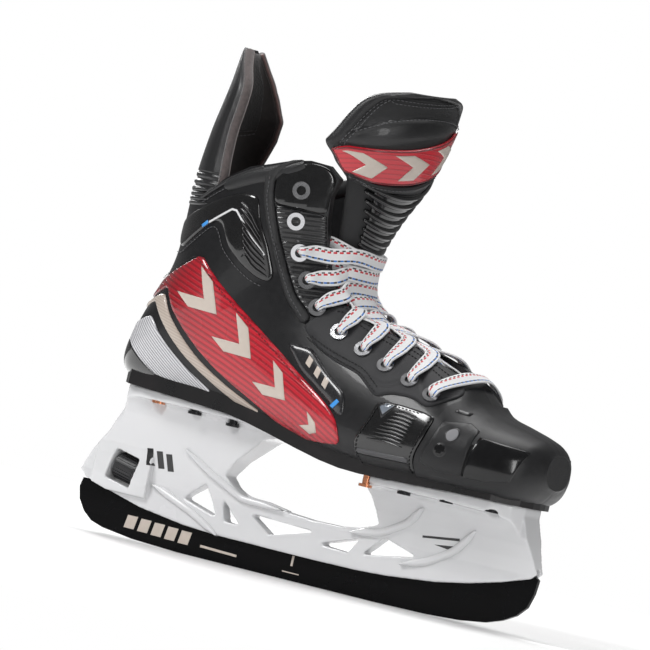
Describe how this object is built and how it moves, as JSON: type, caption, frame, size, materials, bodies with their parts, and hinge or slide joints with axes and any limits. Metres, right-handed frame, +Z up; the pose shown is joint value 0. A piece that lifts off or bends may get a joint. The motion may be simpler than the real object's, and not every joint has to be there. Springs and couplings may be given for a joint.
{
  "type": "hockey skate",
  "caption": "Ice hockey skate: stiff laced boot on a moulded holder with a removable steel runner released by a thumbwheel.",
  "frame": {"origin": "on the ice, under the middle of the steel runner's edge", "axes": "+Z up, +X towards the toe, -Y the outer (right) side of this right-foot skate"},
  "size_m": [0.303, 0.1018, 0.297],
  "materials": {
    "copper_rivet": "polished copper",
    "black_rivet": "black oxide",
    "shell_black": "textured composite quarter",
    "outsole_black": "moulded composite",
    "board_grey": "composite board",
    "footbed_red": "brushed textile over foam",
    "liner_brown": "brushed microfibre",
    "toe_charcoal": "moulded",
    "plug_grey": "moulded",
    "gloss_black": "gloss",
    "champagne": "satin",
    "panel_red": "pinstriped gloss",
    "plate_grey": "bevelled",
    "wing_white": "finely ribbed",
    "woven_black": "woven tape",
    "ribbed_black": "ribbed glossy textile",
    "eyestay_charcoal": "moulded and stitched",
    "eyelet_steel": "polished",
    "collar_leather": "smooth padded",
    "runner_black": "black coated steel",
    "bolt_steel": "zinc plated",
    "wheel_black": "ribbed",
    "holder_white": "moulded gloss",
    "tongue_black": "padded felt and leather",
    "label_red": "gloss",
    "guard_black": "flexible moulded",
    "felt_grey": "brushed felt",
    "lace_white": "flat woven waxed",
    "tip_clear": "clear film"
  },
  "bodies": {
    "boot": {"rivets_copper": "copper_rivet", "rivets_black": "black_rivet", "boot_shell": "shell_black", "outsole": "outsole_black", "insole_board": "board_grey", "footbed": "footbed_red", "liner": "liner_brown", "toe_cap": "toe_charcoal", "toe_cap_plugs": "plug_grey", "heel_cup": "gloss_black", "stripe_right": "champagne", "stripe_left": "champagne", "side_panel_right": "panel_red", "side_panel_left": "panel_red", "speed_plate_right": "plate_grey", "speed_plate_left": "plate_grey", "ankle_badge_right": "gloss_black", "ankle_badge_left": "gloss_black", "heel_wing_right": "wing_white", "heel_wing_left": "wing_white", "binding_right": "woven_black", "binding_left": "woven_black", "facing_cap_right": "gloss_black", "facing_cap_left": "gloss_black", "facing_right": "ribbed_black", "facing_left": "ribbed_black", "eyestay_right": "eyestay_charcoal", "eyestay_left": "eyestay_charcoal", "vamp_guard_right": "gloss_black", "vamp_guard_left": "gloss_black", "eyelets_right": "eyelet_steel", "eyelets_left": "eyelet_steel", "collar_pad_right": "collar_leather", "collar_pad_left": "collar_leather", "holder": "holder_white", "tongue_lower": "tongue_black", "tongue_shield": "gloss_black", "lace": "lace_white", "lace_tips": "tip_clear", "wheel_washers": "bolt_steel"},
    "tongue_top": {"tongue_upper": "tongue_black", "tongue_label": "label_red"},
    "tendon": {"tendon_guard": "guard_black", "guard_lining": "felt_grey"},
    "steel": {"runner": "runner_black"},
    "wheel": {"thumbwheel": "wheel_black"},
    "draw": {"draw_bolt": "bolt_steel"}
  },
  "joints": [
    {"name": "tongue_bend", "type": "hinge", "parent": "boot", "child": "tongue_top", "pos_m": [0.013, 0, 0.2262], "axis": [0, 1, 0], "range_deg": [0, 30], "stiffness_Nm_per_rad": 0.6},
    {"name": "tendon_flex", "type": "hinge", "parent": "boot", "child": "tendon", "pos_m": [-0.117, 0, 0.2055], "axis": [0, -1, 0], "range_deg": [0, 25], "stiffness_Nm_per_rad": 1.5},
    {"name": "steel_swing", "type": "hinge", "parent": "boot", "child": "steel", "pos_m": [0.126, 0, 0.044], "axis": [0, -1, 0], "range_deg": [0, 1.9]},
    {"name": "wheel_turn", "type": "hinge", "parent": "boot", "child": "wheel", "pos_m": [-0.122, 0, 0.0405], "axis": [0.9781, 0, -0.2079], "range_deg": [-360, 0]},
    {"name": "draw_slide", "type": "slide", "parent": "boot", "child": "draw", "axis": [0.9781, 0, -0.2079], "range_m": [0, 0.004]}
  ],
  "couplings": [
    {"joint": "wheel_turn", "follows": "steel_swing", "ratio": -189.45},
    {"joint": "draw_slide", "follows": "steel_swing", "m_per_rad": 0.12061}
  ]
}
